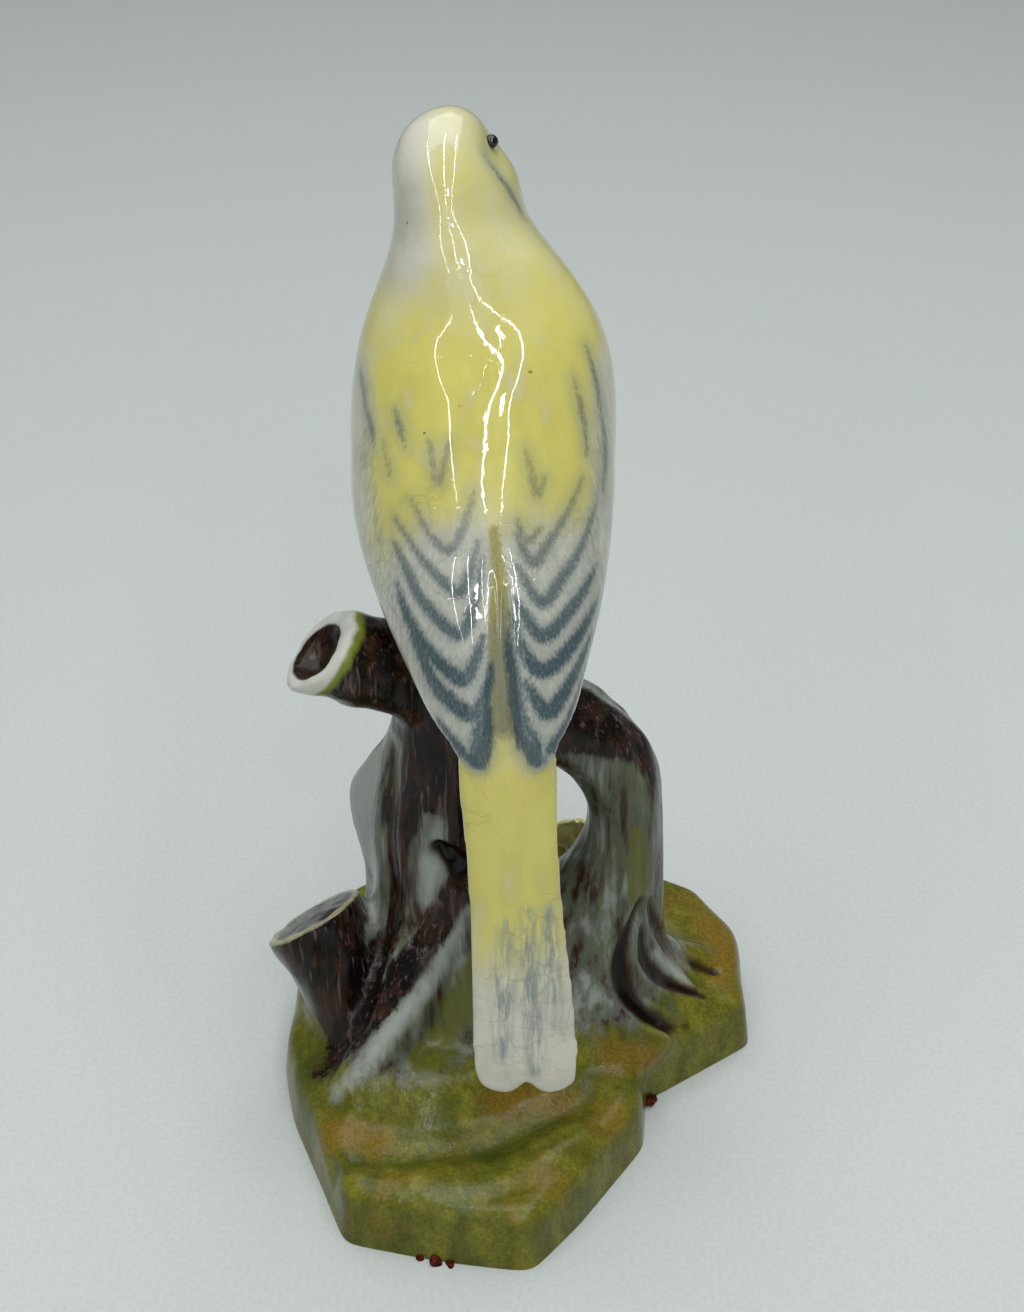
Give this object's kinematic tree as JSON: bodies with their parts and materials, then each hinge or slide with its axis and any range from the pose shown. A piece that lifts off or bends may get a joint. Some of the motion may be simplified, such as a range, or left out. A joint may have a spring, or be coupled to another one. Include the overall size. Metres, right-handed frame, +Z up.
{
  "type": "porcelain bird figurine",
  "caption": "Glazed porcelain budgerigar perched on a hollow tree stump with an arched branch, on a faceted rock base.",
  "frame": {"origin": "in the middle of the flat underside, on the surface that the figurine stands on", "axes": "+Z up through the bird, +Y the way the bird's breast faces, +X the bird's right"},
  "size_m": [0.0818, 0.091, 0.163],
  "materials": {
    "painted_rock": "gloss glaze, moss green and ochre",
    "painted_bark": "gloss glaze, brown, grey and black",
    "painted_plumage": "gloss glaze, yellow shaded to white",
    "painted_wing": "gloss glaze, pale with blue-grey bars",
    "painted_tail": "gloss glaze, yellow with a pale tip",
    "black_glaze": "gloss glaze, black",
    "horn_glaze": "gloss glaze, horn yellow",
    "pink_glaze": "gloss glaze, grey-pink",
    "cream_glaze": "gloss glaze, cream yellow",
    "amber_glaze": "gloss glaze, red-brown",
    "leaf_glaze": "gloss glaze, leaf green",
    "museum_wax": "red-brown wax putty"
  },
  "bodies": {
    "root": {"rock_base": "painted_rock", "stump_trunk": "painted_bark", "arched_branch": "painted_bark", "upper_branch_stub": "painted_bark", "lower_branch_stub": "painted_bark", "bird_body": "painted_plumage", "bird_head": "painted_plumage", "left_wing": "painted_wing", "right_wing": "painted_wing", "bird_tail": "painted_tail", "eye_beads": "black_glaze", "beak": "horn_glaze", "left_foot": "pink_glaze", "right_foot": "pink_glaze", "flower_petals": "cream_glaze", "flower_eye": "amber_glaze", "flower_calyx": "leaf_glaze", "leaf_right": "leaf_glaze", "leaf_left": "leaf_glaze", "leaf_upper": "leaf_glaze", "putty_flakes": "museum_wax"}
  },
  "joints": []
}
